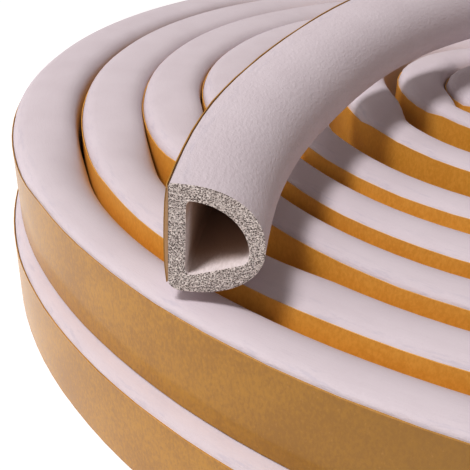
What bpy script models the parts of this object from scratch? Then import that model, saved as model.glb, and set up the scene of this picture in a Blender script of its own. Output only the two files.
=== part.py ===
# Twin coil of self-adhesive D profile sponge rubber weatherstrip, with one end lifted over the coil.
# Units are metres and +Z is up. The origin is on the coil's axis, at the level that the coil rests on.
import math

import bmesh
import bpy

MM = 0.001

# The extruded profile, standing on edge: its flat adhesive back faces outwards in the coil, and its nose
# inwards. Depths are from the back and levels are from the lower side.
STRIP_HEIGHT = 12.0 * MM
STRIP_DEPTH = 9.2 * MM
NOSE_LEVEL = 5.4 * MM
UPPER_SHOULDER = 1.6 * MM
LOWER_SHOULDER = 2.0 * MM
LOWER_BACK_EDGE = 1.2 * MM
BACK_EDGE = 0.5 * MM
BACK_WALL = 1.65 * MM
TOP_WALL = 1.7 * MM
NOSE_WALL = 1.5 * MM
BOTTOM_WALL = 2.05 * MM
HOLLOW_LEVEL = 5.0 * MM
HOLLOW_SHOULDER = 0.45 * MM
HOLLOW_NOSE_DEPTH = 0.9 * MM
HOLLOW_NOSE_HEIGHT = 1.2 * MM
HOLLOW_EDGE = 0.6 * MM
RING_NOSE_STEPS = 3

# The coil: two layers, each one strip wound in a flat spiral and built here as one turned ring, with the
# air that the loose winding left between each turn's nose and the back of the next turn in
TURN_GAPS = (3.0 * MM, 0.6 * MM, 0.3 * MM, 0.7 * MM, 3.0 * MM, 4.3 * MM, 0.3 * MM)
COIL_RADIUS = 93.8 * MM
LOWER_LAYER_PROUD = 2.3 * MM
GROOVE_DEPTH = 9.0 * MM
FACETS = 48

# The release paper, and the adhesive film that keeps it off the foam
LINER_THICKNESS = 0.15 * MM
LINER_MARGIN = 0.4 * MM
GAP = 0.3 * MM
TUCK = 0.02 * MM

# The lifted end climbs along the outermost turn, in facets of the coil, and then bends in over it.
# Each bend is a length along the strip and the radius that its back follows.
CLIMB_FROM_FACET = -15
CLIMB_TO_FACET = -3
LAY_BENDS = (
    (100.0 * MM, 52.0 * MM),
    (30.0 * MM, 51.0 * MM),
    (40.0 * MM, 274.0 * MM),
    (30.0 * MM, 113.0 * MM),
    (30.0 * MM, 154.0 * MM),
    (20.0 * MM, 68.0 * MM),
)
END_STRAIGHT = 5.0 * MM
LAY_STEP = 6.0 * MM
LIFT_OFF_COIL = 0.6 * MM
LIFT_AT_CREST = 6.5 * MM
LIFT_AT_CUT = 1.4 * MM
CREST_AT = 165.0 * MM
CUT_OVERRUN = 5.0 * MM

UPPER_BASE = STRIP_HEIGHT + GAP
COIL_HEIGHT = UPPER_BASE + STRIP_HEIGHT
FACET_ANGLE = 2 * math.pi / FACETS

# The arcs of the section. Each is its centre's depth and level, its half depth and half height, the two
# angles in degrees that it runs between, and its steps. Straight lines join the arcs.
UPPER_NOSE = (UPPER_SHOULDER, NOSE_LEVEL, STRIP_DEPTH - UPPER_SHOULDER, STRIP_HEIGHT - NOSE_LEVEL, 90, 0, 5)
LOWER_NOSE = (LOWER_SHOULDER, NOSE_LEVEL, STRIP_DEPTH - LOWER_SHOULDER, NOSE_LEVEL, 0, -90, 4)
OUTER_ARCS = (
    UPPER_NOSE,
    LOWER_NOSE,
    (LOWER_BACK_EDGE, LOWER_BACK_EDGE, LOWER_BACK_EDGE, LOWER_BACK_EDGE, -90, -180, 2),
    (BACK_EDGE, STRIP_HEIGHT - BACK_EDGE, BACK_EDGE, BACK_EDGE, 180, 90, 1),
)
HOLLOW_TOP = STRIP_HEIGHT - TOP_WALL
HOLLOW_END = STRIP_DEPTH - NOSE_WALL
HOLLOW_SIDE = BACK_WALL + HOLLOW_SHOULDER
HOLLOW_ARCS = (
    (HOLLOW_SIDE, HOLLOW_LEVEL, HOLLOW_END - HOLLOW_SIDE, HOLLOW_TOP - HOLLOW_LEVEL, 90, 0, 5),
    (HOLLOW_END - HOLLOW_NOSE_DEPTH, HOLLOW_LEVEL, HOLLOW_NOSE_DEPTH, HOLLOW_NOSE_HEIGHT, 0, -70, 2),
    (BACK_WALL + HOLLOW_EDGE, BOTTOM_WALL + HOLLOW_EDGE, HOLLOW_EDGE, HOLLOW_EDGE, -70, -180, 2),
    (HOLLOW_SIDE, HOLLOW_TOP - HOLLOW_EDGE, HOLLOW_SHOULDER, HOLLOW_EDGE, 180, 90, 1),
)
FOAM = ("sponge_rubber", (0.80, 0.77, 0.78), 0.85)
PAPER = ("release_paper", (0.72, 0.42, 0.10), 0.65)


def clear_scene():
    for item in list(bpy.data.objects):
        bpy.data.objects.remove(item, do_unlink=True)


def new_collection(name):
    collection = bpy.data.collections.new(name)
    bpy.context.scene.collection.children.link(collection)
    return collection


def make_material(name, colour, roughness):
    material = bpy.data.materials.new(name)
    material.use_nodes = True
    shader = material.node_tree.nodes["Principled BSDF"]
    shader.inputs["Base Color"].default_value = (*colour, 1.0)
    shader.inputs["Roughness"].default_value = roughness
    shader.inputs["Metallic"].default_value = 0.0
    return material


def arc_points(arc, steps):
    """Points (depth, level) along one elliptic arc of the section."""
    centre_depth, centre_level, half_depth, half_height, first, last = arc[:6]
    points = []
    for step in range(steps + 1):
        angle = math.radians(first + (last - first) * step / steps)
        depth = centre_depth + half_depth * math.cos(angle)
        points.append((depth, centre_level + half_height * math.sin(angle)))
    return points


def end_of_turn(back, base, upper, gap):
    """One turn's rounded nose on an end of the coil, and the groove before the next turn, if there is one."""
    arc = UPPER_NOSE if upper else LOWER_NOSE
    nose = arc_points(arc, RING_NOSE_STEPS)
    if not upper:
        nose.reverse()
    points = [(back - depth, base + level) for depth, level in nose]
    if gap is not None:
        floor = base + (STRIP_HEIGHT - GROOVE_DEPTH if upper else GROOVE_DEPTH)
        end = base + (STRIP_HEIGHT if upper else 0.0)
        neighbour = back - STRIP_DEPTH - gap
        points += [(back - STRIP_DEPTH, floor), (neighbour, floor), (neighbour, end)]
    return points


def ring_profile(back_radius, base, upper):
    """Half section of a layer: down its back, in along its lower end, up the bore and out on top.

    The turns show on the upper layer's top and on the lower layer's underside. The other end, pressed
    against the other layer, is plain.
    """
    top = base + STRIP_HEIGHT
    turns = []
    back = back_radius
    for gap in (*TURN_GAPS, None):
        turns += end_of_turn(back, base, upper, gap)
        if gap is not None:
            back -= STRIP_DEPTH + gap
    plain = [(back - STRIP_DEPTH, base if upper else top)]
    outer = [(back_radius - BACK_EDGE, top), (back_radius, top - BACK_EDGE)]
    outer += [(back_radius, base + BACK_EDGE), (back_radius - BACK_EDGE, base)]
    if upper:
        return outer + plain + turns[::-1]
    return outer + turns + plain


def turn_solid(name, profile, collection):
    """A closed half section at +X, turned round the coil's axis."""
    mesh = bpy.data.meshes.new(name)
    section = bmesh.new()
    corners = [section.verts.new((radius, 0.0, height)) for radius, height in profile]
    for first, second in zip(corners, corners[1:] + corners[:1]):
        section.edges.new((first, second))
    section.to_mesh(mesh)
    section.free()
    solid = bpy.data.objects.new(name, mesh)
    collection.objects.link(solid)
    screw = solid.modifiers.new("turned", "SCREW")
    screw.axis = "Z"
    screw.steps = FACETS
    screw.render_steps = FACETS
    screw.use_merge_vertices = True
    screw.merge_threshold = 0.01 * MM
    return solid


def liner_band_profile(back_radius, base):
    inner = back_radius + GAP
    outer = inner + LINER_THICKNESS
    low = base + LINER_MARGIN
    high = base + STRIP_HEIGHT - LINER_MARGIN
    return [(outer, high), (outer, low), (inner, low), (inner, high)]


def ease(share):
    """0 to 1 with level ends."""
    return (1 - math.cos(math.pi * share)) / 2


def plan_of_free_end():
    """Points (x, y, distance from the end of the climb) of the lifted end's back, in plan."""
    radius = COIL_RADIUS - TUCK
    points = []
    for facet in range(CLIMB_FROM_FACET, CLIMB_TO_FACET + 1):
        angle = facet * FACET_ANGLE
        distance = (facet - CLIMB_TO_FACET) * FACET_ANGLE * radius
        points.append((radius * math.cos(angle), radius * math.sin(angle), distance))
    heading = CLIMB_TO_FACET * FACET_ANGLE + math.pi / 2
    distance = 0.0
    for length, bend_radius in LAY_BENDS:
        steps = max(1, round(length / LAY_STEP))
        step = length / steps
        for _ in range(steps):
            heading += step / bend_radius / 2
            distance += step
            x, y, _ = points[-1]
            points.append((x + step * math.cos(heading), y + step * math.sin(heading), distance))
            heading += step / bend_radius / 2
    x, y, distance = points[-1]
    end = (x + END_STRAIGHT * math.cos(heading), y + END_STRAIGHT * math.sin(heading))
    return points + [(*end, distance + END_STRAIGHT)]


def height_of_free_end(distance, start, end):
    """Mid height of the strip: up onto the coil, up to the crest, and down towards its cut end."""
    low = UPPER_BASE + STRIP_HEIGHT / 2 + TUCK
    on_coil = COIL_HEIGHT + LIFT_OFF_COIL + STRIP_HEIGHT / 2
    crest = COIL_HEIGHT + LIFT_AT_CREST + STRIP_HEIGHT / 2
    cut = COIL_HEIGHT + LIFT_AT_CUT + STRIP_HEIGHT / 2
    if distance < 0:
        return low + (on_coil - low) * ease(1 - distance / start)
    if distance < CREST_AT:
        return on_coil + (crest - on_coil) * ease(distance / CREST_AT)
    past_crest = (distance - CREST_AT) / (end - CREST_AT)
    return cut + (crest - cut) * math.cos(math.pi / 2 * past_crest)


def route_of_free_end():
    plan = plan_of_free_end()
    start = plan[0][2]
    end = plan[-1][2]
    return [(x, y, height_of_free_end(distance, start, end)) for x, y, distance in plan]


def outline_curve(name, points, guides):
    """A closed flat outline for a sweep, x out from the strip's back and y up."""
    data = bpy.data.curves.new(name, "CURVE")
    data.dimensions = "2D"
    spline = data.splines.new("POLY")
    spline.points.add(len(points) - 1)
    for point, (across, up) in zip(spline.points, points):
        point.co = (across, up, 0.0, 1.0)
    spline.use_cyclic_u = True
    outline = bpy.data.objects.new(name, data)
    guides.objects.link(outline)
    outline.hide_render = True
    outline.display_type = "WIRE"
    return outline


def section_outline(arcs):
    """A closed outline from its arcs, centred in height, with x negative into the section."""
    points = []
    for arc in arcs:
        for depth, level in arc_points(arc, arc[6]):
            point = (-depth, level - STRIP_HEIGHT / 2)
            if not points or math.dist(point, points[-1]) > TUCK:
                points.append(point)
    return points if math.dist(points[0], points[-1]) > TUCK else points[:-1]


def sweep(name, route, outline, collection):
    """The outline carried along the route, kept upright, as a closed mesh object."""
    data = bpy.data.curves.new(name, "CURVE")
    data.dimensions = "3D"
    data.twist_mode = "Z_UP"
    data.bevel_mode = "OBJECT"
    data.bevel_object = outline
    data.use_fill_caps = True
    spline = data.splines.new("POLY")
    spline.points.add(len(route) - 1)
    for point, place in zip(spline.points, route):
        point.co = (*place, 1.0)
    curve = bpy.data.objects.new(name + "_route", data)
    collection.objects.link(curve)
    bpy.context.view_layer.update()
    evaluated = curve.evaluated_get(bpy.context.evaluated_depsgraph_get())
    mesh = bpy.data.meshes.new_from_object(evaluated)
    shape = bmesh.new()
    shape.from_mesh(mesh)
    bmesh.ops.remove_doubles(shape, verts=shape.verts, dist=0.001 * MM)
    bmesh.ops.recalc_face_normals(shape, faces=shape.faces)
    shape.to_mesh(mesh)
    shape.free()
    swept = bpy.data.objects.new(name, mesh)
    swept.matrix_world = curve.matrix_world
    collection.objects.link(swept)
    bpy.data.objects.remove(curve, do_unlink=True)
    return swept


def combine(target, tool, operation):
    modifier = target.modifiers.new(operation.lower(), "BOOLEAN")
    modifier.operation = operation
    modifier.solver = "EXACT"
    modifier.object = tool
    tool.hide_render = True
    tool.display_type = "WIRE"


def finish(solid, material):
    solid.data.materials.append(material)
    for polygon in solid.data.polygons:
        polygon.use_smooth = True


def main():
    clear_scene()
    parts = new_collection("rubber_door_weatherstrip")
    guides = new_collection("cutters")
    foam = make_material(*FOAM)
    paper = make_material(*PAPER)

    route = route_of_free_end()
    lay_start = CLIMB_TO_FACET - CLIMB_FROM_FACET
    last, end = route[-2], route[-1]
    stretch = CUT_OVERRUN / math.dist(last, end)
    beyond = tuple(b + (b - a) * stretch for a, b in zip(last, end))
    lifted = route[lay_start:] + [beyond]

    d_section = outline_curve("d_section", section_outline(OUTER_ARCS), guides)
    free_end = sweep("free_end", route, d_section, guides)
    hollow_outline = outline_curve("hollow_section", section_outline(HOLLOW_ARCS), guides)
    hollow = sweep("free_end_hollow", lifted, hollow_outline, guides)
    inner = GAP
    outer = GAP + LINER_THICKNESS
    half_width = STRIP_HEIGHT / 2 - LINER_MARGIN
    ribbon_points = [(outer, half_width), (inner, half_width), (inner, -half_width), (outer, -half_width)]
    liner_section = outline_curve("liner_section", ribbon_points, guides)
    ribbon = sweep("free_end_liner", route, liner_section, guides)

    lower_radius = COIL_RADIUS + LOWER_LAYER_PROUD
    lower_seal = turn_solid("lower_seal", ring_profile(lower_radius, 0.0, False), parts)
    lower_liner = turn_solid("lower_liner", liner_band_profile(lower_radius, 0.0), parts)
    upper_seal = turn_solid("upper_seal", ring_profile(COIL_RADIUS, UPPER_BASE, True), parts)
    upper_liner = turn_solid("upper_liner", liner_band_profile(COIL_RADIUS, UPPER_BASE), parts)
    combine(upper_seal, free_end, "UNION")
    combine(upper_seal, hollow, "DIFFERENCE")
    combine(upper_liner, ribbon, "UNION")
    for seal in (lower_seal, upper_seal):
        finish(seal, foam)
    for liner in (lower_liner, upper_liner):
        finish(liner, paper)


main()
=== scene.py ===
# %% [markdown]
# Twin coil of D profile door seal
#
# The real object is two lengths of hollow sponge rubber seal, wound together as two flat spirals, one on the
# other. Each has amber release paper on its flat adhesive back, and the outer end of the upper length is
# lifted off and laid back over the coil. The imported model is loaded first, as a fixed frame, and the
# surfaces that follow keep to its sizes.

# %% Load the frame
import math

import bpy
import numpy as np
from mathutils import Matrix


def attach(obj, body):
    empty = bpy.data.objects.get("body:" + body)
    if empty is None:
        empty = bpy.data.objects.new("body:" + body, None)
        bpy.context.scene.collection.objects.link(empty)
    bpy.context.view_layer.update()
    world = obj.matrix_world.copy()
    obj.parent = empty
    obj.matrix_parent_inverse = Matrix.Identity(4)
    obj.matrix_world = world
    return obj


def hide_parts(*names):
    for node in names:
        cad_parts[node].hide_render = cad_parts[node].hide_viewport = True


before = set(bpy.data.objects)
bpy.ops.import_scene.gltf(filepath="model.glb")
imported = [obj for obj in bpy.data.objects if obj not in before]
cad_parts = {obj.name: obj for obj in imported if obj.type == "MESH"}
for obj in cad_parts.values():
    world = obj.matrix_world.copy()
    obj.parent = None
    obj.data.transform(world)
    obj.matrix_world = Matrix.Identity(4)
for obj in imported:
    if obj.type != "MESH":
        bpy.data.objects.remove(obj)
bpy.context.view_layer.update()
MM = 0.001

# %% [markdown]
# The camera
#
# The camera stands low over the near side of the coil. Its place was found by fitting the turns' paper edges
# and the cut end in the photograph, so it is given as numbers: where it is, how far it looks down, and its
# small turn and roll. A lens of 57 mm gives the photograph's narrow angle, and the near clip is short
# because the cut end is only a hand's breadth away.

# %% Camera
CAMERA_PLACE = np.array([-56.20, -126.06, 67.34]) * MM
CAMERA_TURN = math.radians(0.87)
CAMERA_DOWN = math.radians(30.74)
CAMERA_ROLL = math.radians(1.42)
CAMERA_LENS = 56.56


def aim_camera():
    """A camera that looks along +Y, turned, tipped down and rolled, from its three axes as matrix columns."""
    level = np.array([math.sin(CAMERA_TURN), math.cos(CAMERA_TURN), 0.0])
    right = np.array([math.cos(CAMERA_TURN), -math.sin(CAMERA_TURN), 0.0])
    ahead = level * math.cos(CAMERA_DOWN) - np.array([0.0, 0.0, math.sin(CAMERA_DOWN)])
    above = np.cross(right, ahead)
    turned_right = right * math.cos(CAMERA_ROLL) + above * math.sin(CAMERA_ROLL)
    turned_above = above * math.cos(CAMERA_ROLL) - right * math.sin(CAMERA_ROLL)
    lens = bpy.data.cameras.new("camera")
    lens.lens = CAMERA_LENS
    lens.sensor_width = 36.0
    lens.clip_start = 5 * MM
    lens.clip_end = 20.0
    eye = bpy.data.objects.new("camera", lens)
    bpy.context.scene.collection.objects.link(eye)
    columns = np.column_stack([turned_right, turned_above, -ahead, CAMERA_PLACE])
    eye.matrix_world = Matrix([*columns.tolist(), [0.0, 0.0, 0.0, 1.0]])
    bpy.context.scene.camera = eye
    return eye


camera = aim_camera()
print("camera lens", round(camera.data.lens, 2), "mm")

# %% [markdown]
# The sizes of the seal
#
# The profile is 12 mm wide and 9.2 mm high, and it stands on edge in the coil with its flat back outwards.
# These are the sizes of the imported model, and the visual strip keeps them.

# %% Sizes of the seal and of the coil
STRIP_HEIGHT = 12.0 * MM
STRIP_DEPTH = 9.2 * MM
LAYER_GAP = 0.05 * MM
UPPER_BASE = STRIP_HEIGHT + LAYER_GAP
COIL_HEIGHT = UPPER_BASE + STRIP_HEIGHT
COIL_RADIUS = 93.8 * MM
LOWER_PROUD = 2.6 * MM
LOWER_PROUD_BEHIND = 0.7 * MM
STATION_STEP = 3.6 * MM

# %% [markdown]
# The route of a strip
#
# A real coil is no exact spiral: its turns lie closer in some places than in others. The radius of the
# strip's back is therefore given at every half turn, as measured from the photograph, and a smooth cubic
# runs through those values. Half turns count from the innermost. Between them, on the near left, some turns
# are pushed in or stand out, so each of those has a dent or a bulge of its own. The winding grows
# anticlockwise as seen from above.

# %% Radius of the winding
HALF_TURN_RADII = np.array([
    7.7, 11.9, 16.5, 19.3, 25.2, 28.9, 37.3, 43.1, 48.3, 56.5,
    57.9, 66.6, 68.0, 75.6, 78.4, 84.8, 89.5, 93.0, 100.8,
]) * MM
FIRST_TURN = -8.0
DENTS = (
    (-0.706, -1.0, 0.040), (-1.701, 1.9, 0.036), (-2.731, 2.6, 0.047),
    (-3.748, 1.9, 0.061), (-4.781, 3.6, 0.089), (-5.753, 1.6, 0.083),
)
FOLD_ANGLE = math.radians(111.2)


def smooth_through(values, spacing, wanted):
    """A natural cubic spline: second slopes from one linear system, then each span's cubic formula."""
    count = len(values)
    system = np.eye(count) * 4
    system += np.eye(count, k=1) + np.eye(count, k=-1)
    system[0] = system[-1] = 0
    system[0, 0] = system[-1, -1] = 1
    bend = np.zeros(count)
    bend[1:-1] = 6 * (values[2:] - 2 * values[1:-1] + values[:-2])
    second = np.linalg.solve(system, bend)
    place = np.clip(wanted / spacing, 0, count - 1 - 1e-9)
    low = place.astype(int)
    along = place - low
    back = 1 - along
    straight = back * values[low] + along * values[low + 1]
    curved = (back ** 3 - back) * second[low] + (along ** 3 - along) * second[low + 1]
    return straight + curved / 6


def winding_radius(turn):
    """Radius of the upper strip's back after so many turns; turn 0 is the start of the outermost.

    Each dent takes off a bell curve, given by its turn, its depth in mm and its spread in turns. A dent
    of less than nothing is a bulge.
    """
    radius = smooth_through(HALF_TURN_RADII, 0.5, turn - FIRST_TURN)
    for middle, depth, spread in DENTS:
        radius = radius - depth * MM * np.exp(-((turn - middle) / spread) ** 2)
    return radius


print("outermost radius", round(float(winding_radius(np.array([0.0]))[0] / MM), 1), "mm")

# %% [markdown]
# The lifted end
#
# The upper strip climbs onto the coil along its outermost turn, leaves it on the far right and bends in over
# the turns, held by its own stiffness. It is a chain of bends, each a length and a radius, which turn into a
# heading by adding up length over radius, and into places by adding up the headings. Its height eases up
# onto the coil, a little more to a crest, and down towards the cut end. Where two turns lie closer than the
# seal is deep, the soft seal is squeezed to fit, so each station also has a squeeze, a share of its depth.

# %% Route of a strip
CLIMB_FROM = math.radians(-112.5)
CLIMB_TO = math.radians(-22.5)
LAY_BENDS = np.array([
    (100.0, 51.9), (30.0, 51.4), (40.0, 274.4), (30.0, 113.1), (30.0, 153.8), (20.0, 67.7), (5.0, 1e6),
]) * MM
CREST_AT = 165.0 * MM
LIFT_OFF_COIL = 0.6 * MM
LIFT_AT_CREST = 6.75 * MM
LIFT_AT_CUT = 1.65 * MM
SLOPE_AT_CUT = 0.83
CORE_TURN = -7.05
LOWER_CORE_TURN = -6.95
LOWER_END_TURN = 0.62
TURN_CLEARANCE = 0.2 * MM
MOST_SWELL = 0.07
LEAST_SQUEEZE = 0.75
BULGE = 0.6 * MM
BULGE_TURN = 0.235
BULGE_SPREAD = 0.055
PROUD_FROM_TURN = 0.17
PROUD_TO_TURN = 0.29
PLAN_SAMPLES = 4000
KINK_PASSES = 3


def distance_along(points):
    """How far each point lies from the first, added up over the straight steps between them."""
    return np.concatenate([[0.0], np.cumsum(np.linalg.norm(np.diff(points, axis=0), axis=1))])


def turn_at(angle):
    """The outermost turn's number at an angle, which is negative on the near right side."""
    return (angle + 2 * math.pi - FOLD_ANGLE) / (2 * math.pi)


def ease(share):
    """0 to 1 with level ends: half a cosine wave."""
    return (1 - np.cos(np.pi * np.clip(share, 0, 1))) / 2


def wound_plan(first, last, extra_radius):
    """Places (x, y) along the winding between two turns, spaced evenly, and the squeeze at each.

    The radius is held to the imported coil's, and a layer's own extra radius at each turn is added. The
    squeeze is the room between a turn and the next one in, less a clearance, over the seal's depth. The
    seal fills a gap that is slightly wider than it is, and beyond that it keeps its own depth.
    """
    turn = np.linspace(first, last, PLAN_SAMPLES)
    radius = np.minimum(winding_radius(turn), COIL_RADIUS)
    room = radius + extra_radius(turn) - winding_radius(turn - 1) - extra_radius(turn - 1) - TURN_CLEARANCE
    share = room / STRIP_DEPTH
    swollen = 1 + MOST_SWELL * np.exp(-((share - 1 - MOST_SWELL) / MOST_SWELL) ** 2)
    squeeze = np.where(share < 1 + MOST_SWELL, np.clip(share, LEAST_SQUEEZE, 2), swollen)
    squeeze = np.where(turn - 1 > first, squeeze, 1.0)
    angle = FOLD_ANGLE + 2 * np.pi * turn
    plan = (radius + extra_radius(turn))[:, None] * np.column_stack([np.cos(angle), np.sin(angle)])
    travelled = distance_along(plan)
    even = np.linspace(0, travelled[-1], int(travelled[-1] / STATION_STEP) + 1)
    x = np.interp(even, travelled, plan[:, 0])
    y = np.interp(even, travelled, plan[:, 1])
    return np.column_stack([x, y]), np.interp(even, travelled, squeeze)


def lifted_plan():
    """Places (x, y) along the bends, from where the strip leaves the outermost turn to its cut end."""
    length = LAY_BENDS[:, 0].sum()
    distance = np.linspace(0, length, int(length / STATION_STEP) + 1)
    ends = np.concatenate([[0.0], np.cumsum(LAY_BENDS[:, 0])])
    turned = np.concatenate([[0.0], np.cumsum(LAY_BENDS[:, 0] / LAY_BENDS[:, 1])])
    heading = CLIMB_TO + np.pi / 2 + np.interp(distance, ends, turned)
    middle = (heading[1:] + heading[:-1]) / 2
    gap = np.diff(distance)
    x = COIL_RADIUS * np.cos(CLIMB_TO) + np.concatenate([[0.0], np.cumsum(gap * np.cos(middle))])
    y = COIL_RADIUS * np.sin(CLIMB_TO) + np.concatenate([[0.0], np.cumsum(gap * np.sin(middle))])
    return np.column_stack([x, y])


def lifted_height(distance):
    """Mid height of the upper strip at a distance past the place where it leaves the outermost turn.

    From the crest to the cut it falls as 1 - (3 - c) t^2 + (2 - c) t^3, where t runs from 0 to 1 and c is
    the slope at the cut.
    """
    climb = COIL_RADIUS * (CLIMB_TO - CLIMB_FROM)
    length = LAY_BENDS[:, 0].sum()
    low = UPPER_BASE + STRIP_HEIGHT / 2
    above = COIL_HEIGHT + STRIP_HEIGHT / 2
    rising = low + (above + LIFT_OFF_COIL - low) * ease((distance + climb) / climb)
    rising += (LIFT_AT_CREST - LIFT_OFF_COIL) * ease(distance / CREST_AT)
    past_crest = np.clip((distance - CREST_AT) / (length - CREST_AT), 0, 1)
    share = 1 - (3 - SLOPE_AT_CUT) * past_crest ** 2 + (2 - SLOPE_AT_CUT) * past_crest ** 3
    falling = above + LIFT_AT_CUT + (LIFT_AT_CREST - LIFT_AT_CUT) * share
    return np.where(distance < CREST_AT, rising, falling)


def smoothed(route, passes):
    """The route with each inner place drawn to the mean of its neighbours, to take out the joints' kinks."""
    for _ in range(passes):
        route[1:-1] = route[1:-1] / 2 + (route[2:] + route[:-2]) / 4
    return route


def upper_extra(turn):
    """A low bulge of the outermost turn on the left, shaped as a bell curve."""
    return BULGE * np.exp(-((turn - BULGE_TURN) / BULGE_SPREAD) ** 2)


def lower_extra(turn):
    """How far the lower layer stands out: little behind, more in front."""
    share = ease((turn - PROUD_FROM_TURN) / (PROUD_TO_TURN - PROUD_FROM_TURN))
    return LOWER_PROUD_BEHIND + (LOWER_PROUD - LOWER_PROUD_BEHIND) * share


def upper_strip_route():
    """The wound turns, the climb and the lifted end as one route, with its squeezes."""
    wound, squeeze = wound_plan(CORE_TURN, turn_at(CLIMB_TO), upper_extra)
    lifted = lifted_plan()
    plan = smoothed(np.vstack([wound, lifted[1:]]), KINK_PASSES)
    travelled = distance_along(plan)
    height = lifted_height(travelled - travelled[len(wound) - 1])
    return np.column_stack([plan, height]), np.concatenate([squeeze, np.ones(len(lifted) - 1)])


def lower_strip_route():
    """The wound turns of the lower layer, flat on the floor, with their squeezes."""
    wound, squeeze = wound_plan(LOWER_CORE_TURN, LOWER_END_TURN, lower_extra)
    return np.column_stack([wound, np.full(len(wound), STRIP_HEIGHT / 2)]), squeeze


upper_route, upper_squeeze = upper_strip_route()
lower_route, lower_squeeze = lower_strip_route()
print("upper strip", round(float(distance_along(upper_route)[-1]), 2), "m")
print("lower strip", round(float(distance_along(lower_route)[-1]), 2), "m")

# %% [markdown]
# Gentle unevenness
#
# Soft rubber pushed into a coil by hand wanders a little. A few slow sine waves of fixed phase give each
# strip a small lean and a small swelling, the same on every run. The lifted end leans in a little more.

# %% Slow waves along a strip
LEAN_WAVES = (0.31, 0.17, 0.093)
WANDERING_LEAN = math.radians(0.8)
LIFTED_LEAN = math.radians(2.1)
FREE_LENGTH = 0.18
EASING_LENGTH = 0.08


def slow_waves(along, wavelengths, size, seed):
    """A sum of sines along the strip, one for each wavelength, with seeded phases, scaled to a size."""
    phases = np.random.default_rng(seed).uniform(0, 2 * np.pi, len(wavelengths))
    waves = [np.sin(2 * np.pi * along / length + phase) for length, phase in zip(wavelengths, phases)]
    return size * np.sum(waves, axis=0) / math.sqrt(len(wavelengths))


def freedom(along):
    """How free of the coil's squeeze the strip is: 1 over the lifted end, easing to 0 before it."""
    return ease((along - along[-1] + FREE_LENGTH + EASING_LENGTH) / EASING_LENGTH)


def frames_along(route, seed, lifted_lean):
    """Directions at each station: along the strip, in towards its depth, and up across its width.

    Up is +Z less its part along the strip, and depth is up crossed with the direction of travel. Both are
    then turned about the strip by the lean.
    """
    steps = np.gradient(route, axis=0)
    ahead = steps / np.linalg.norm(steps, axis=1)[:, None]
    up = np.array([0.0, 0.0, 1.0]) - ahead * ahead[:, 2:3]
    up /= np.linalg.norm(up, axis=1)[:, None]
    depth = np.cross(up, ahead)
    along = distance_along(route)
    freed = freedom(along) if lifted_lean else np.zeros(len(along))
    lean = slow_waves(along, LEAN_WAVES, WANDERING_LEAN, seed) * (1 - freed) + lifted_lean * freed
    lean = lean[:, None]
    tilted_up = up * np.cos(lean) + depth * np.sin(lean)
    tilted_depth = depth * np.cos(lean) - up * np.sin(lean)
    return along, ahead, tilted_depth, tilted_up, freed


print("the free end leans in by", round(math.degrees(LIFTED_LEAN), 1), "degrees")

# %% [markdown]
# The D section
#
# The outer outline is a flat back, a nose of two unlike rounded quarters whose tip sits low, and rounded
# back corners. The quarters are superellipses, which are ellipses with a fullness. In the coil each nose is
# pressed against the next turn, so it is a little fuller there, its upper side is crowned, and the paper
# draws the back edge down. On the left the turns lie tightest: the nose is almost square, and the upper back
# edge is rounder. The hollow is a rounded triangle with a bowed top.
#
# Each outline is a chain of arcs joined by straight lines, sampled with the same number of evenly spaced
# points from the middle of the back, so that the ring of wall between them at a cut is a plain grid.

# %% Outlines of the section
NOSE_LEVEL = 5.4 * MM
UPPER_SHOULDER = 1.6 * MM
LOWER_SHOULDER = 2.0 * MM
LOWER_CORNER = 1.2 * MM
UPPER_CORNER = 0.45 * MM
BACK_WALL = 1.65 * MM
TOP_WALL = 1.7 * MM
NOSE_WALL = 1.5 * MM
BOTTOM_WALL = 2.05 * MM
HOLLOW_LEVEL = 5.0 * MM
HOLLOW_SHOULDER = 0.45 * MM
HOLLOW_NOSE_DEPTH = 0.9 * MM
HOLLOW_NOSE_HEIGHT = 1.2 * MM
HOLLOW_CORNER = 0.6 * MM
FREE_FULLNESS = 2.25
WOUND_FULLNESS = 2.35
TIGHT_FULLNESS = 8.0
LOWER_FULLNESS = 0.9
WOUND_LOWER_CORNER = 0.5 * MM
WOUND_UPPER_CORNER = 0.3 * MM
TIGHT_UPPER_CORNER = 1.3 * MM
TIGHT_BEHIND_LEFT = math.radians(15)
RIM_RANGE = (0.70, 0.80)
TIGHT_RANGE = (0.76, 0.90)
BACK_DIP = 0.2 * MM
BACK_DIP_DEPTH = 3.0 * MM
CROWN = 0.35 * MM
SECTION_POINTS = 40
CUT_FINENESS = 12
ARC_SAMPLES = 90


def arc_chain(arcs, count):
    """Points (depth, height) spaced evenly along a closed chain of arcs, from the middle of the back.

    Each arc is its centre's depth and level, its half depth and half height, its first and last angle in
    degrees, and its fullness. A point on it is the centre plus the halves times the cosine and sine of the
    angle, each of them to the power 2 over the fullness, which is 2 for an ellipse.
    """
    pieces = []
    for depth, level, half_depth, half_height, first, last, fullness in arcs:
        angle = np.radians(np.linspace(first, last, ARC_SAMPLES))
        across = np.sign(np.cos(angle)) * np.abs(np.cos(angle)) ** (2 / fullness)
        upwards = np.sign(np.sin(angle)) * np.abs(np.sin(angle)) ** (2 / fullness)
        pieces.append(np.column_stack([depth + half_depth * across, level + half_height * upwards]))
    start = (pieces[0][0] + pieces[-1][-1])[None] / 2
    dense = np.vstack([start, *pieces, start])
    dense = dense[np.concatenate([[True], np.linalg.norm(np.diff(dense, axis=0), axis=1) > 1e-9])]
    travelled = distance_along(dense)
    even = np.linspace(0, travelled[-1], count + 1)[:-1]
    depth = np.interp(even, travelled, dense[:, 0])
    height = np.interp(even, travelled, dense[:, 1]) - STRIP_HEIGHT / 2
    return np.column_stack([depth, height])


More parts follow.
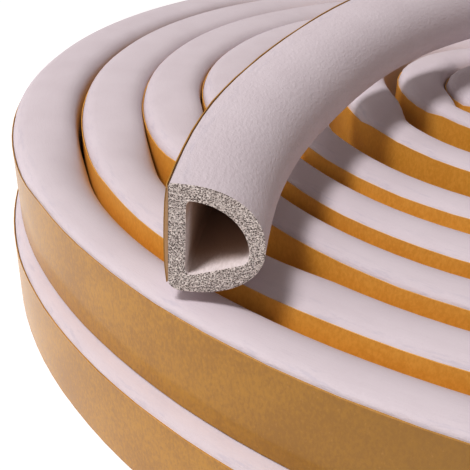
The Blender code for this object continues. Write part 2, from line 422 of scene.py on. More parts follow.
def seal_outlines(fineness, fullness, lower_corner=LOWER_CORNER, upper_corner=UPPER_CORNER):
    """The outer outline and the hollow's, both with the given multiple of the section's points."""
    count = SECTION_POINTS * fineness
    outer = (
        (lower_corner, lower_corner, lower_corner, lower_corner, 180, 270, 2),
        (LOWER_SHOULDER, NOSE_LEVEL, STRIP_DEPTH - LOWER_SHOULDER, NOSE_LEVEL,
         -90, 0, fullness * LOWER_FULLNESS),
        (UPPER_SHOULDER, NOSE_LEVEL, STRIP_DEPTH - UPPER_SHOULDER, STRIP_HEIGHT - NOSE_LEVEL,
         0, 90, fullness),
        (upper_corner, STRIP_HEIGHT - upper_corner, upper_corner, upper_corner, 90, 180, 2),
    )
    end = STRIP_DEPTH - NOSE_WALL
    top = STRIP_HEIGHT - TOP_WALL
    side = BACK_WALL + HOLLOW_SHOULDER
    hollow = (
        (BACK_WALL + HOLLOW_CORNER, BOTTOM_WALL + HOLLOW_CORNER, HOLLOW_CORNER, HOLLOW_CORNER, 180, 290, 2),
        (end - HOLLOW_NOSE_DEPTH, HOLLOW_LEVEL, HOLLOW_NOSE_DEPTH, HOLLOW_NOSE_HEIGHT, -70, 0, 2),
        (side, HOLLOW_LEVEL, end - side, top - HOLLOW_LEVEL, 0, 90, 2),
        (side, top - HOLLOW_CORNER, HOLLOW_SHOULDER, HOLLOW_CORNER, 90, 180, 2),
    )
    return arc_chain(outer, count), arc_chain(hollow, count)


def crowned(outline):
    """The outline with a low crown on its upper side and its upper back edge drawn down.

    The crown is a parabola over the whole depth. The back edge falls by the square of what is left of a
    shorter depth.
    """
    share = outline[:, 0] / STRIP_DEPTH
    rise = CROWN * 4 * share * (1 - share)
    fall = BACK_DIP * np.clip(1 - outline[:, 0] / BACK_DIP_DEPTH, 0, 1) ** 2
    raised = outline.copy()
    raised[:, 1] += (rise - fall) * np.clip(outline[:, 1] / (STRIP_HEIGHT / 2), 0, 1)
    return raised


def tightness(route, low, high):
    """How tightly the turns lie: 1 on the left, easing to 0 in front, behind and on the right.

    The tightest place lies a little behind the far left. Low and high are where the easing starts and
    ends, as cosines of the angle from there.
    """
    leftness = route[:, 1] * math.sin(TIGHT_BEHIND_LEFT) - route[:, 0] * math.cos(TIGHT_BEHIND_LEFT)
    return ease((leftness / np.linalg.norm(route[:, :2], axis=1) - low) / (high - low))


outer_outline, hollow_outline = seal_outlines(1, FREE_FULLNESS)
pressed_outline = crowned(seal_outlines(1, WOUND_FULLNESS, WOUND_LOWER_CORNER, WOUND_UPPER_CORNER)[0])
rimmed_outline = crowned(seal_outlines(1, WOUND_FULLNESS, WOUND_LOWER_CORNER, TIGHT_UPPER_CORNER)[0])
tight_outline = crowned(seal_outlines(1, TIGHT_FULLNESS, WOUND_LOWER_CORNER, TIGHT_UPPER_CORNER)[0])
print("section points", len(outer_outline), "outer and", len(hollow_outline), "hollow")

# %% [markdown]
# Open cells on a cut
#
# Where the seal was cut, thousands of gas cells in the sponge are open, and they show as fine dark pits.
# They are real dents here: each point of the cut face is pushed in by the nearest pit, a rounded bowl with
# its own radius and depth. The same depth is kept as an attribute, and the finish paints shade into the
# bowls with it.

# %% Pits of the cut face
PIT_SPACING = 0.17 * MM


def pit_depths(points, seed):
    """How deep each (depth, height) point lies in the bowl of its nearest pit, in metres.

    A bowl's depth falls with the square of the distance over its radius, and is nothing outside it.
    """
    random = np.random.default_rng(seed)
    low = points.min(axis=0)
    high = points.max(axis=0)
    cells = np.ceil((high - low) / PIT_SPACING).astype(int)
    across, up = np.meshgrid(np.arange(cells[0]), np.arange(cells[1]), indexing="ij")
    centres = np.column_stack([across.ravel(), up.ravel()]) + random.uniform(0.05, 0.95, (across.size, 2))
    centres = low + centres * PIT_SPACING
    radii = PIT_SPACING * random.uniform(0.3, 0.58, len(centres))
    deepest = radii * random.uniform(0.4, 1.0, len(centres))
    depth = np.zeros(len(points))
    for part in np.array_split(np.arange(len(points)), 1 + len(points) // 2000):
        away = np.linalg.norm(points[part, None, :] - centres[None, :, :], axis=2)
        bowl = deepest * np.clip(1 - (away / radii) ** 2, 0, 1)
        depth[part] = bowl.max(axis=1)
    return depth


print("a pit about every", round(PIT_SPACING / MM, 2), "mm")

# %% [markdown]
# A cut face
#
# The wall that a cut shows is a grid of its own, much finer than the strip's, so that the cells can be
# modelled. Its rows run from the outer outline in to the hollow's. The cut's own edges are rounded a little.

# %% Grid of a cut face
FACE_ROWS = 22
CUT_ROUNDING = 0.06 * MM


def cut_grid(fullness):
    """Points (depth, height) of a cut, row by row, each row a blend of the outer and the hollow outline."""
    outer, hollow = seal_outlines(CUT_FINENESS, fullness)
    share = np.linspace(0, 1, FACE_ROWS)[:, None, None]
    return (outer[None] * (1 - share) + hollow[None] * share).reshape(-1, 2)


def place_section(points, station, ahead_shift, frames, route):
    """Section points (depth, height) set into space at a station, moved along the strip by a shift."""
    _, ahead, depth, up, _ = frames
    place = route[station] + ahead_shift[:, None] * ahead[station]
    return place + points[:, :1] * depth[station] + points[:, 1:] * up[station]


def cut_face(frames, route, station, outwards, seed):
    """Places of a cut's points, pushed in by its pits and rounded at its edges, and the pits' depths."""
    flat = cut_grid(FREE_FULLNESS if frames[4][station] > 0.5 else WOUND_FULLNESS)
    row_points = SECTION_POINTS * CUT_FINENESS
    row = np.arange(FACE_ROWS)
    inner = np.repeat(np.minimum(row, row[::-1]) > 0, row_points)
    pits = pit_depths(flat, seed) * inner
    rounding = CUT_ROUNDING * np.repeat(np.abs(np.linspace(-1, 1, FACE_ROWS)) ** 6, row_points)
    places = place_section(flat, station, -outwards * (pits + rounding), frames, route)
    return places, pits


print("points of a cut face", len(cut_grid(FREE_FULLNESS)))

# %% [markdown]
# The seal as one closed surface
#
# A strip is a grid: one ring of section points at each station along its route. The outer ring grid and the
# hollow's ring grid are joined at each end by the finer cut face. Between the coarse rings and the fine ones
# runs a band of many-sided faces, each with one coarse edge and twelve fine ones, which keeps the surface
# closed. Each vertex also keeps where it lies along the strip and in its section, for the finishes.

# %% Faces of a seal strip


def ring_quads(rows, count, start, flip):
    """Quads of a tube of rings, numbered row by row from a start; flip turns their faces over."""
    row, column = np.meshgrid(np.arange(rows - 1), np.arange(count), indexing="ij")
    first = start + row * count + column
    beside = start + row * count + (column + 1) % count
    quads = np.stack([first, beside, beside + count, first + count], axis=-1).reshape(-1, 4)
    return quads[:, ::-1] if flip else quads


def fan_faces(coarse_start, fine_start, flip):
    """Many-sided faces between a coarse ring and a fine one, one for each coarse edge."""
    faces = []
    for edge in range(SECTION_POINTS):
        following = (edge + 1) % SECTION_POINTS
        fine = [fine_start + (edge * CUT_FINENESS + step) % (SECTION_POINTS * CUT_FINENESS)
                for step in range(CUT_FINENESS, -1, -1)]
        face = [coarse_start + edge, coarse_start + following, *fine]
        faces.append(face[::-1] if flip else face)
    return faces


def seal_faces(stations):
    """Faces of the skin, of the hollow and of the cuts. Vertices are skin, hollow, start cut and end cut."""
    fine = SECTION_POINTS * CUT_FINENESS
    hollow_start = stations * SECTION_POINTS
    start_cut = 2 * hollow_start
    end_cut = start_cut + FACE_ROWS * fine
    last_ring = (stations - 1) * SECTION_POINTS
    inner_row = (FACE_ROWS - 1) * fine
    skin = list(ring_quads(stations, SECTION_POINTS, 0, False))
    skin += fan_faces(0, start_cut, True)
    skin += fan_faces(last_ring, end_cut, False)
    core = list(ring_quads(stations, SECTION_POINTS, hollow_start, True))
    core += fan_faces(hollow_start, start_cut + inner_row, False)
    core += fan_faces(hollow_start + last_ring, end_cut + inner_row, True)
    cuts = list(ring_quads(FACE_ROWS, fine, start_cut, True))
    cuts += list(ring_quads(FACE_ROWS, fine, end_cut, False))
    return skin, core, cuts


print("faces of a band beside a cut", len(fan_faces(0, 0, False)))

# %% [markdown]
# A strip put together
#
# All outlines have the same number of points, so a blend of whole outlines changes the section smoothly
# along the strip: free at the lifted end, pressed in the coil, and fuller where the turns lie tight.

# %% Build a seal strip
CUT_MARGIN = 0.25 * MM
SWELL_WAVES = (0.061, 0.037, 0.023)
SWELL = 0.006
SEAL_SHARP_ANGLE = math.radians(50)


def outer_shapes(route, freed):
    """The outer outline at each station, a blend of the free, the pressed, the rimmed and the tight one."""
    free = freed[:, None, None]
    rimmed = tightness(route, *RIM_RANGE)[:, None, None]
    tight = tightness(route, *TIGHT_RANGE)[:, None, None]
    wound = pressed_outline[None] * (1 - rimmed) + rimmed_outline[None] * rimmed
    wound = wound * (1 - tight) + tight_outline[None] * tight
    return outer_outline[None] * free + wound * (1 - free)


def mesh_of(name, vertices, face_groups, sharp_angle):
    """An object at the origin from vertices and groups of faces, one group for each of its finishes."""
    mesh = bpy.data.meshes.new(name)
    faces = [tuple(int(corner) for corner in face) for group in face_groups for face in group]
    mesh.from_pydata(vertices.tolist(), [], faces)
    kinds = np.repeat(np.arange(len(face_groups)), [len(group) for group in face_groups]).astype(np.int32)
    mesh.polygons.foreach_set("material_index", kinds)
    mesh.polygons.foreach_set("use_smooth", np.ones(len(faces), bool))
    mesh.update()
    mesh.set_sharp_from_angle(angle=sharp_angle)
    made = bpy.data.objects.new(name, mesh)
    bpy.context.scene.collection.objects.link(made)
    return made


def keep(piece, name, values):
    """Keep one number or one vector for each vertex under a name that a finish can read."""
    kind, field = ("FLOAT_VECTOR", "vector") if values.ndim == 2 else ("FLOAT", "value")
    piece.data.attributes.new(name, kind, "POINT").data.foreach_set(field, values.ravel())


def seal_strip(name, route, squeeze, seed, lifted_lean):
    """One length of seal: outer skin, hollow and both cut faces, as one closed mesh.

    A point is its station's place, plus its depth times the squeeze along the depth direction, plus its
    height along the up direction. The first and last rings stand back from the cuts by a small margin.
    """
    frames = frames_along(route, seed, lifted_lean)
    along, ahead, depth, up, freed = frames
    stations = len(route)
    inset = np.zeros(stations)
    inset[0] = CUT_MARGIN
    inset[-1] = -CUT_MARGIN
    base = route + inset[:, None] * ahead
    swell = squeeze * (1 + slow_waves(along, SWELL_WAVES, SWELL, seed + 1))
    swell[[0, -1]] = squeeze[[0, -1]]
    outer = outer_shapes(route, freed)
    hollow = np.repeat(hollow_outline[None], stations, axis=0)
    tubes = [
        (base[:, None] + shape[:, :, :1] * swell[:, None, None] * depth[:, None]
         + shape[:, :, 1:] * up[:, None]).reshape(-1, 3)
        for shape in (outer, hollow)
    ]
    start_face, start_pits = cut_face(frames, route, 0, -1, seed + 2)
    end_face, end_pits = cut_face(frames, route, -1, 1, seed + 3)
    vertices = np.vstack([*tubes, start_face, end_face])
    strip = mesh_of(name, vertices, seal_faces(stations), SEAL_SHARP_ANGLE)
    cut = cut_grid(FREE_FULLNESS)
    flat = np.vstack([outer.reshape(-1, 2), hollow.reshape(-1, 2), cut, cut])
    rings = np.repeat(along, SECTION_POINTS)
    run = np.concatenate([rings, rings, np.full(len(cut), along[0]), np.full(len(cut), along[-1])])
    keep(strip, "lay", np.column_stack([run, flat]))
    keep(strip, "pitted", np.concatenate([np.zeros(2 * len(rings)), start_pits, end_pits]) / MM)
    keep(strip, "inward", np.minimum(run - along[0], along[-1] - run) / MM)
    return strip, frames


upper_strip, upper_frames = seal_strip("upper_seal_strip", upper_route, upper_squeeze, 11, LIFTED_LEAN)
lower_strip, lower_frames = seal_strip("lower_seal_strip", lower_route, lower_squeeze, 29, 0.0)
print("faces of a strip", len(upper_strip.data.polygons))

# %% [markdown]
# The release paper
#
# The paper is a ribbon 0.11 mm thick on the adhesive film of the flat back, whose edges stop a little short
# of the paper's. The paper's long edges were slit by a knife and wander by a fraction of a millimetre. On
# the tight left side the back edge is rounder, so the paper's upper edge sits lower there. Near the lifted
# cut end the knife has pulled the adhesive into a low ridge, and the paper bulges over it.
#
# The paper of the inner turns carries painted light: it is brighter than the plain amber of the outermost
# turn. The upper one's last stretch carries painted shade. Both are kept as attributes that ease in over a
# few centimetres, at lengths back from the cut end.

# %% Sizes of the release paper
PAPER_THICKNESS = 0.11 * MM
FILM = 0.06 * MM
FILM_MARGIN = 0.15 * MM
PAPER_LOW = -5.65 * MM
PAPER_LOW_FREE = -5.1 * MM
PAPER_HIGH = 5.5 * MM
PAPER_HIGH_TIGHT = 4.6 * MM
PAPER_HIGH_FREE = 5.85 * MM
LOW_EDGE_WAVES = (0.043, 0.019, 0.009)
LOW_EDGE_WANDER = 0.04 * MM
HIGH_EDGE_WAVES = (0.051, 0.017, 0.007)
HIGH_EDGE_WANDER = 0.05 * MM
RIDGE = 0.27 * MM
RIDGE_LENGTH = 9 * MM
RIDGE_FULLNESS = 0.7
PAPER_ROWS = 7
# where the inner turns' painted light gives way to plain amber, and where the end's painted shade begins
UPPER_OUTER_TURN_LENGTH = 0.84
LOWER_OUTER_TURN_LENGTH = 0.60
OUTER_TURN_EASING = 0.05
UPPER_END_SHADE_LENGTH = 0.445
LOWER_END_SHADE_LENGTH = 0.0
END_SHADE_EASING = 0.06
PAPER_SHARP_ANGLE = math.radians(40)
print("paper", round((PAPER_HIGH - PAPER_LOW) / MM, 2), "mm wide on the wound turns")

# %% [markdown]
# Paper and film as two ribbons
#
# A ribbon is a grid like the strip, but its section is a thin loop, up one side and down the other. The same
# function makes the paper and the film, each between two heights and two depths.

# %% Build a release paper on its adhesive


def ribbon_shell(route, frames, low, high, inner, outer):
    """A closed ribbon between two heights and two depths: its places, faces and section coordinates.

    Heights are one for each station, and depths one for each station and row across the width.
    """
    along, _, depth, up, _ = frames
    share = np.linspace(0, 1, PAPER_ROWS)
    height = low[:, None] * (1 - share) + high[:, None] * share
    section_height = np.concatenate([height, height[:, ::-1]], axis=1)
    section_depth = np.concatenate([inner, outer[:, ::-1]], axis=1)
    places = route[:, None] + section_depth[..., None] * depth[:, None]
    places = places + section_height[..., None] * up[:, None]
    count = 2 * PAPER_ROWS
    rows = len(route)
    faces = [tuple(int(corner) for corner in quad) for quad in ring_quads(rows, count, 0, True)]
    faces.append(tuple(range(count)))
    faces.append(tuple(reversed(range((rows - 1) * count, rows * count))))
    lay = np.column_stack([np.repeat(along, count), section_depth.ravel(), section_height.ravel()])
    return places.reshape(-1, 3), faces, lay


def liner_ribbon(name, route, frames, outer_turn_length, end_shade_length, seed):
    """The release paper and the adhesive film under it, as two closed ribbons in one mesh."""
    along, _, _, _, freed = frames
    low = PAPER_LOW + (PAPER_LOW_FREE - PAPER_LOW) * freed
    low += slow_waves(along, LOW_EDGE_WAVES, LOW_EDGE_WANDER, seed)
    high = PAPER_HIGH + (PAPER_HIGH_TIGHT - PAPER_HIGH) * tightness(route, *RIM_RANGE) * (1 - freed)
    high += (PAPER_HIGH_FREE - PAPER_HIGH) * freed
    high += slow_waves(along, HIGH_EDGE_WAVES, HIGH_EDGE_WANDER, seed + 1)
    across = np.linspace(-1, 1, PAPER_ROWS)
    ridge = RIDGE * np.exp(-(along[-1] - along) / RIDGE_LENGTH)[:, None] * (1 - across ** 2) ** RIDGE_FULLNESS
    film_top = -(FILM + ridge)
    paper_top = film_top - PAPER_THICKNESS
    skin_depth = np.zeros_like(ridge)
    shells = (
        ribbon_shell(route, frames, low, high, film_top, paper_top),
        ribbon_shell(route, frames, low + FILM_MARGIN, high - FILM_MARGIN, skin_depth, film_top),
    )
    first = len(shells[0][0])
    film_faces = [tuple(corner + first for corner in face) for face in shells[1][1]]
    vertices = np.vstack([shell[0] for shell in shells])
    ribbon = mesh_of(name, vertices, (shells[0][1], film_faces), PAPER_SHARP_ANGLE)
    lay = np.vstack([shell[2] for shell in shells])
    keep(ribbon, "lay", lay)
    # painted light and shade: one share ends the inner turns' painted light, the other paints shade at the
    # end
    keep(ribbon, "outer_turn", ease((lay[:, 0] - along[-1] + outer_turn_length) / OUTER_TURN_EASING))
    keep(ribbon, "end_shade", ease((lay[:, 0] - along[-1] + end_shade_length) / END_SHADE_EASING))
    return ribbon


upper_paper = liner_ribbon("upper_release_paper", upper_route, upper_frames,
                           UPPER_OUTER_TURN_LENGTH, UPPER_END_SHADE_LENGTH, 41)
lower_paper = liner_ribbon("lower_release_paper", lower_route, lower_frames,
                           LOWER_OUTER_TURN_LENGTH, LOWER_END_SHADE_LENGTH, 57)
print("faces of a paper", len(upper_paper.data.polygons))

# %% [markdown]
# Shader maths in plain expressions
#
# A finish is a sum of soft patterns. One small class lets a socket be added, multiplied and compared as if
# it were a number, and one method makes every other node, so that each finish reads like a formula.

# %% Helpers for materials


class Value:
    """A number that varies over a surface: a node socket with the usual operators."""

    def __init__(self, finish, socket):
        self.finish = finish
        self.socket = socket

    def math(self, operation, *others):
        """The result of a Math node on this value and the others."""
        settings = {"operation": operation}
        return Value(self.finish, self.finish.node("ShaderNodeMath", settings, self, *others).outputs[0])

    def __add__(self, other):
        return self.math("ADD", other)

    def __radd__(self, other):
        return self.math("ADD", other)

    def __sub__(self, other):
        return self.math("SUBTRACT", other)

    def __rsub__(self, other):
        return (self * -1) + other

    def __mul__(self, other):
        return self.math("MULTIPLY", other)

    def __rmul__(self, other):
        return self.math("MULTIPLY", other)

    def between(self, low, high):
        """0 below low, 1 above high, and a smooth step between them; low may be the greater."""
        settings = {"interpolation_type": "SMOOTHSTEP"}
        inputs = {"Value": self, "From Min": low, "From Max": high}
        return Value(self.finish, self.finish.node("ShaderNodeMapRange", settings, **inputs).outputs[0])


class Finish:
    """A material under construction, with one Principled shader."""

    def __init__(self, name):
        self.material = bpy.data.materials.new(name)
        self.material.use_nodes = True
        self.tree = self.material.node_tree
        self.shader = self.tree.nodes["Principled BSDF"]

    def plug(self, socket, value):
        """Link a value or a socket to an input, or set the input to a plain number or colour."""
        if isinstance(value, Value):
            self.tree.links.new(value.socket, socket)
        elif isinstance(value, bpy.types.NodeSocket):
            self.tree.links.new(value, socket)
        else:
            socket.default_value = value

    def node(self, kind, settings, *values, **named):
        """A node of a type, with its settings made first and then its inputs, by order or by name."""
        made = self.tree.nodes.new(kind)
        for key, setting in settings.items():
            setattr(made, key, setting)
        for socket, value in zip(made.inputs, values):
            self.plug(socket, value)
        for key, value in named.items():
            self.plug(made.inputs[key.replace("_", " ")], value)
        return made

    def lay(self, along, depth, height):
        """The strip's own coordinates in metres, each times a factor, as one vector for a pattern."""
        source = self.node("ShaderNodeAttribute", {"attribute_name": "lay"})
        scaled = self.node("ShaderNodeVectorMath", {"operation": "MULTIPLY"}, source.outputs["Vector"],
                           (along, depth, height))
        return scaled.outputs[0]

    def section(self):
        """Where a point lies in the section: its depth and its height over mid height, in millimetres."""
        places = self.node("ShaderNodeSeparateXYZ", {}, self.lay(1 / MM, 1 / MM, 1 / MM))
        return Value(self, places.outputs["Y"]), Value(self, places.outputs["Z"])

    def number(self, name):
        """A number that was kept for each vertex under a name."""
        return Value(self, self.node("ShaderNodeAttribute", {"attribute_name": name}).outputs["Fac"])

    def noise(self, where, detail, roughness):
        """Soft noise between 0 and 1 over a vector."""
        inputs = {"Vector": where, "Scale": 1.0, "Detail": detail, "Roughness": roughness}
        return Value(self, self.node("ShaderNodeTexNoise", {}, **inputs).outputs["Fac"])

    def mix(self, share, first, second):
        """The first colour where the share is 0, the second where it is 1, and a blend between."""
        made = self.node("ShaderNodeMix", {"data_type": "RGBA"})
        for socket, value in ((made.inputs[0], share), (made.inputs[6], first), (made.inputs[7], second)):
            self.plug(socket, value)
        return made.outputs[2]

    def bump(self, height, distance, strength):
        """A normal that leans with the slope of a height pattern."""
        inputs = {"Height": height, "Distance": distance, "Strength": strength}
        return self.node("ShaderNodeBump", {}, **inputs).outputs[0]


print("finish helpers ready")

# %% [markdown]
# White sponge rubber
#
# The skin of the seal is matt white with a faint lilac grey. It carries very fine lines along its length
# from the extruder, a soft mottling, and fine wrinkles and bluish smudges near the edge of the paper, where
# the adhesive pulled at it. The last stretch before each cut has a fine peel as well, like that of an
# orange, because nothing presses it smooth.

# %% Skin of the rubber
SKIN_WHITE = (0.712, 0.642, 0.670, 1.0)
SKIN_SHADE = (0.680, 0.606, 0.634, 1.0)
SKIN_SMUDGE = (0.46, 0.44, 0.52, 1.0)


def rubber_skin():
    """The outside of the seal: colour from slow noise, relief from fine noise."""
    finish = Finish("sponge_rubber_skin")
    lines = finish.noise(finish.lay(420, 5200, 5200), 3.0, 0.6)
    mottle = finish.noise(finish.lay(150, 170, 170), 3.0, 0.5)
    grain = finish.noise(finish.lay(5200, 5200, 5200), 2.0, 0.6)
    wrinkle = finish.noise(finish.lay(900, 3600, 3600), 4.0, 0.6)
    smudge = finish.noise(finish.lay(260, 1400, 1400), 4.0, 0.65)
    peel = finish.noise(finish.lay(1500, 2400, 2400), 4.0, 0.6)
    near_end = finish.number("inward").between(150.0, 90.0)
    depth, height = finish.section()
    near_back = depth.between(2.6, 0.2) * height.between(3.6, 5.6)
    tinted = smudge.between(0.5, 0.68) * near_back
    tone = (mottle * 0.55 + lines * 0.25 + grain * 0.2).between(0.3, 0.68)
    colour = finish.mix(tone, SKIN_SHADE, SKIN_WHITE)
    colour = finish.mix(tinted * 0.3, colour, SKIN_SMUDGE)
    finish.plug(finish.shader.inputs["Base Color"], colour)
    finish.plug(finish.shader.inputs["Roughness"], 0.6 + mottle * 0.25)
    finish.shader.inputs["Specular IOR Level"].default_value = 0.3
    relief = lines * 0.4 + grain * 0.3 + mottle * 0.25 + wrinkle * near_back * 1.2 + peel * near_end * 1.8
    finish.plug(finish.shader.inputs["Normal"], finish.bump(relief, 0.07 * MM, 0.8))
    return finish.material


skin = rubber_skin()
print("made", skin.name)

# %% [markdown]
# The sponge inside
#
# The cut shows the bare sponge, a beige grey with open cells. Painted shade darkens the bowls modelled in
# the cut face, and a fine cell pattern paints shade into the cells that are smaller than those. The
# hollow has a skin like the outside's, a little duller, with painted shade under its roof and from a few
# millimetres in.

# %% Bare sponge and the hollow
SPONGE = (0.66, 0.58, 0.545, 1.0)
SPONGE_LIGHT = (0.95, 0.87, 0.82, 1.0)
# painted shade: the colour of the shade inside the open cells
OPEN_CELL_SHADE = (0.105, 0.080, 0.070, 1.0)
HOLLOW_WHITE = (0.86, 0.78, 0.77, 1.0)
HOLLOW_SHADE = (0.74, 0.66, 0.64, 1.0)
# painted shade: the colour under the hollow's top and deeper in, where little light reaches
HOLLOW_PAINTED_SHADE = (0.54, 0.38, 0.29, 1.0)


def cut_sponge():
    """The bare sponge of a cut: pale cell walls, with painted shade in the open cells and the modelled bowls.
    """
    finish = Finish("cut_sponge")
    cell_pattern = {"Vector": finish.lay(7200, 6200, 7900), "Scale": 1.0}
    cells = finish.node("ShaderNodeTexVoronoi", {"feature": "F1"}, **cell_pattern)
    walls = Value(finish, cells.outputs["Distance"])
    speckle = finish.noise(finish.lay(4600, 3000, 6200), 2.0, 0.7)
    # painted shade in the open cells: darker at the fine cells' centres, and in the modelled bowls by their
    # depth
    pit = (finish.number("pitted") * 22).math("MINIMUM", 1.0)
    colour = finish.mix(speckle.between(0.38, 0.62), SPONGE, SPONGE_LIGHT)
    colour = finish.mix(1 - walls.between(0.22, 0.62), colour, OPEN_CELL_SHADE)
    colour = finish.mix(pit * 0.3, colour, OPEN_CELL_SHADE)
    finish.plug(finish.shader.inputs["Base Color"], colour)
    finish.shader.inputs["Roughness"].default_value = 0.9
    finish.shader.inputs["Specular IOR Level"].default_value = 0.15
    finish.plug(finish.shader.inputs["Normal"], finish.bump(walls + speckle, 0.06 * MM, 0.6))
    return finish.material


def hollow_skin():
    """The inside of the hollow, with painted shade under the top and from a few millimetres in."""
    finish = Finish("hollow_skin")
    grain = finish.noise(finish.lay(1500, 4200, 4200), 3.0, 0.6)
    _, height = finish.section()
    # painted shade under the top and from a few millimetres in; the greater of the two darkens the colour
    roof_shade = height.between(0.5, 3.5) * 0.8
    depth_shade = finish.number("inward").between(0.3, 4.5)
    colour = finish.mix(grain.between(0.3, 0.7), HOLLOW_SHADE, HOLLOW_WHITE)
    colour = finish.mix(roof_shade.math("MAXIMUM", depth_shade), colour, HOLLOW_PAINTED_SHADE)
    finish.plug(finish.shader.inputs["Base Color"], colour)
    finish.shader.inputs["Roughness"].default_value = 0.8
    finish.shader.inputs["Specular IOR Level"].default_value = 0.2
    finish.plug(finish.shader.inputs["Normal"], finish.bump(grain, 0.06 * MM, 0.6))
    return finish.material


cut_face_finish = cut_sponge()
hollow_finish = hollow_skin()
print("made", cut_face_finish.name, hollow_finish.name)

# %% [markdown]
# Amber release paper
#
# The paper is glassine kraft, coated and slightly glossy, with short fibres and pale flecks. Its colour
# wanders between a deep and a lighter amber, and its slit upper edge is paler. Between the turns it carries
# painted light, a brighter amber, the outermost turn keeps the plain amber, and the upper one's last
# stretch carries painted shade and is darkest. The adhesive under it is a dull peach.

# %% Release paper and adhesive
PAPER_AMBER = (0.520, 0.253, 0.014, 1.0)
PAPER_DEEP = (0.385, 0.172, 0.007, 1.0)
# painted shade on the upper strip's last stretch
PAPER_END_SHADE = (0.290, 0.138, 0.005, 1.0)
PAPER_PALE = (0.74, 0.40, 0.10, 1.0)
# painted light: the inner turns' paper, brighter than the plain amber
PAPER_INNER_LIT = (0.92, 0.49, 0.085, 1.0)
PAPER_INNER_LIT_DEEP = (0.82, 0.40, 0.055, 1.0)
ADHESIVE = (0.50, 0.32, 0.19, 1.0)


def release_paper():
    """Coated kraft: painted light on the inner turns, painted shade at the end, flecks and a paler edge."""
    finish = Finish("release_paper_amber")
    fibres = finish.noise(finish.lay(3000, 2000, 1700), 3.0, 0.65)
    cloud = finish.noise(finish.lay(110, 90, 160), 4.0, 0.55)
    flecks = finish.noise(finish.lay(2600, 2600, 1500), 3.0, 0.7)
    _, height = finish.section()
    edge = height.between(5.36, 5.52)
    tone = (fibres * 0.6 + cloud * 0.4).between(0.36, 0.64)
    tinted = finish.mix(tone, PAPER_DEEP, PAPER_AMBER)
    # painted shade on the upper strip's last stretch
    tinted = finish.mix(finish.number("end_shade") * 0.9, tinted, PAPER_END_SHADE)
    # painted light on the inner turns, which gives way to the plain amber on the outermost turn
    colour = finish.mix(finish.number("outer_turn"), finish.mix(tone, PAPER_INNER_LIT_DEEP, PAPER_INNER_LIT), tinted)
    colour = finish.mix(flecks.between(0.60, 0.80) * 0.25, colour, PAPER_PALE)
    colour = finish.mix(edge * (0.2 + flecks * 0.6), colour, PAPER_PALE)
    finish.plug(finish.shader.inputs["Base Color"], colour)
    finish.plug(finish.shader.inputs["Roughness"], 0.38 + fibres * 0.2)
    finish.shader.inputs["Specular IOR Level"].default_value = 0.35
    finish.shader.inputs["Coat Weight"].default_value = 0.6
    finish.shader.inputs["Coat Roughness"].default_value = 0.18
    finish.plug(finish.shader.inputs["Normal"], finish.bump(fibres * 0.7 + cloud * 0.5, 0.02 * MM, 0.6))
    return finish.material


def adhesive_film():
    """The film's edge, a dull grainy peach."""
    finish = Finish("adhesive_film")
    grain = finish.noise(finish.lay(2600, 2600, 2600), 3.0, 0.6)
    finish.plug(finish.shader.inputs["Base Color"], finish.mix(grain * 0.5, ADHESIVE, PAPER_DEEP))
    finish.shader.inputs["Roughness"].default_value = 0.5
    return finish.material


paper = release_paper()
adhesive = adhesive_film()
for strip in (upper_strip, lower_strip):
    for material in (skin, hollow_finish, cut_face_finish):
        strip.data.materials.append(material)
for ribbon in (upper_paper, lower_paper):
    ribbon.data.materials.append(paper)
    ribbon.data.materials.append(adhesive)
print("made", paper.name, adhesive.name)

# %% [markdown]
# Each piece takes its place
#
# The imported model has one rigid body. Each strip and each paper rides on it and stands for its plain solid.

# %% Tie the pieces to the frame
PLACES = (
    (upper_strip, "upper_seal", "sponge_rubber"),
    (lower_strip, "lower_seal", "sponge_rubber"),
    (upper_paper, "upper_liner", "release_paper"),
    (lower_paper, "lower_liner", "release_paper"),
)
for piece, node, finish_slot in PLACES:
    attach(piece, "root")
    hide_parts(node)
print("pieces placed:", len(PLACES))

# %% [markdown]
# Floor and light
#
# The photograph has a plain white ground without shadows, one soft light from the front left and above, and
# a bright left side that the paper reflects. A pale floor that glows a little, a small lamp high on the near
# left, a large one on the far left and a dim warm sky give the same shading. The lamps' places follow from
# the lit patch in the hollow and from the lifted end's shadow. A view gamma a little under 1 deepens the
# middle tones, as the photograph's contrast does.

# %% Floor and lamps
FLOOR_SIDE = 3.0
FLOOR_TONE = 0.8
FLOOR_GLOW = 0.40
KEY_PLACE = (-0.41, -0.31, 1.00)
KEY_TARGET = (-0.02, 0.0, 0.02)
KEY_SIZE = 0.24
KEY_WATTS = 8.5
KEY_COLOUR = (0.985, 0.970, 1.0)
GLOW_PLACE = (-0.78, 0.05, 0.58)
GLOW_TARGET = (0.0, 0.0, 0.02)
GLOW_SIZE = 0.8
GLOW_WATTS = 1.7
GLOW_COLOUR = (1.0, 0.985, 0.99)
SKY_COLOUR = (1.0, 0.90, 0.83, 1.0)
SKY_STRENGTH = 0.27
VIEW_GAMMA = 0.85


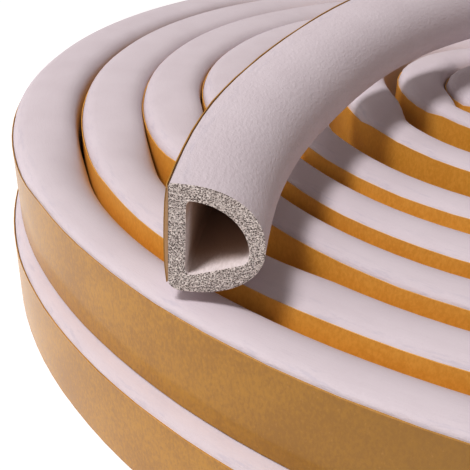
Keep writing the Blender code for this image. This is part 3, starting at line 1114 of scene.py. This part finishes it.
def pale_floor():
    """One large square that glows a little, so that the coil's own shadow stays faint."""
    mesh = bpy.data.meshes.new("floor")
    half = FLOOR_SIDE / 2
    corners = [(-half, -half, 0), (half, -half, 0), (half, half, 0), (-half, half, 0)]
    mesh.from_pydata(corners, [], [(0, 1, 2, 3)])
    floor = bpy.data.objects.new("floor", mesh)
    bpy.context.scene.collection.objects.link(floor)
    finish = Finish("pale_floor")
    tone = (FLOOR_TONE, FLOOR_TONE, FLOOR_TONE, 1.0)
    finish.shader.inputs["Base Color"].default_value = tone
    finish.shader.inputs["Emission Color"].default_value = tone
    finish.shader.inputs["Emission Strength"].default_value = FLOOR_GLOW
    finish.shader.inputs["Roughness"].default_value = 0.9
    mesh.materials.append(finish.material)
    return floor


def soft_lamp(name, place, target, size, watts, colour):
    """A square area lamp whose -Z axis points from its place to a target."""
    data = bpy.data.lights.new(name, "AREA")
    data.shape = "SQUARE"
    data.size = size
    data.energy = watts
    data.color = colour
    lamp = bpy.data.objects.new(name, data)
    bpy.context.scene.collection.objects.link(lamp)
    back = np.array(place) - np.array(target)
    back = back / np.linalg.norm(back)
    side = np.cross([0.0, 0.0, 1.0], back)
    side /= np.linalg.norm(side)
    columns = np.column_stack([side, np.cross(back, side), back, place])
    lamp.matrix_world = Matrix([*columns.tolist(), [0.0, 0.0, 0.0, 1.0]])
    return lamp


def dim_sky():
    """An even sky of one colour."""
    world = bpy.data.worlds.new("studio")
    world.use_nodes = True
    background = world.node_tree.nodes["Background"]
    background.inputs["Color"].default_value = SKY_COLOUR
    background.inputs["Strength"].default_value = SKY_STRENGTH
    bpy.context.scene.world = world
    return world


pale_floor()
key_light = soft_lamp("key_light", KEY_PLACE, KEY_TARGET, KEY_SIZE, KEY_WATTS, KEY_COLOUR)
left_glow = soft_lamp("left_glow", GLOW_PLACE, GLOW_TARGET, GLOW_SIZE, GLOW_WATTS, GLOW_COLOUR)
dim_sky()
bpy.context.scene.view_settings.view_transform = "Standard"
bpy.context.scene.view_settings.exposure = 0.0
bpy.context.scene.view_settings.gamma = VIEW_GAMMA
print("lamps", key_light.data.energy, "W and", round(left_glow.data.energy, 1), "W")
